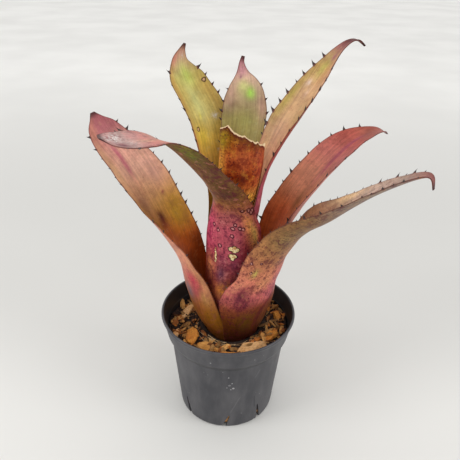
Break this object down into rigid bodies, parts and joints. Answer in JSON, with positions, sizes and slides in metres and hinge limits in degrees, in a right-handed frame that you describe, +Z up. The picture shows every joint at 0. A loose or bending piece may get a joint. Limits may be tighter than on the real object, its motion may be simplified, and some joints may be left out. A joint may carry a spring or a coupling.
{
  "type": "potted bromeliad",
  "caption": "Tank bromeliad with spined, arching strap leaves overlapping in an upright funnel, standing in bark mix in a round tapered plastic nursery pot.",
  "frame": {"origin": "centre of the pot's underside, on the surface that the pot stands on", "axes": "+Z up along the pot's axis; +X to the viewer's right in the picture; -Y towards the viewer"},
  "size_m": [0.2489, 0.1549, 0.3271],
  "materials": {
    "pot": "dark grey polypropylene, satin",
    "mix": "damp bark and peat",
    "bark": "rough bark chips",
    "fibre": "dry plant fibre",
    "leaf": "stiff leaf, thin waxy bloom",
    "stem": "fibrous plant stem"
  },
  "bodies": {
    "root": {"pot": "pot", "potting_mix": "mix", "bark_chip_1": "bark", "bark_chip_2": "bark", "bark_chip_3": "bark", "bark_chip_4": "bark", "bark_chip_5": "bark", "bark_chip_6": "bark", "bark_chip_7": "bark", "bark_chip_8": "bark", "bark_chip_9": "bark", "bark_chip_10": "bark", "bark_chip_11": "bark", "bark_chip_12": "bark", "bark_chip_13": "bark", "bark_chip_14": "bark", "bark_chip_15": "bark", "dry_fibre_1": "fibre", "dry_fibre_2": "fibre", "leaf_front_right": "leaf", "leaf_left": "leaf", "leaf_right": "leaf", "leaf_front": "leaf", "leaf_back_left": "leaf", "leaf_back": "leaf", "leaf_back_right": "leaf", "leaf_inner_torn": "leaf", "stem": "stem"}
  },
  "joints": []
}
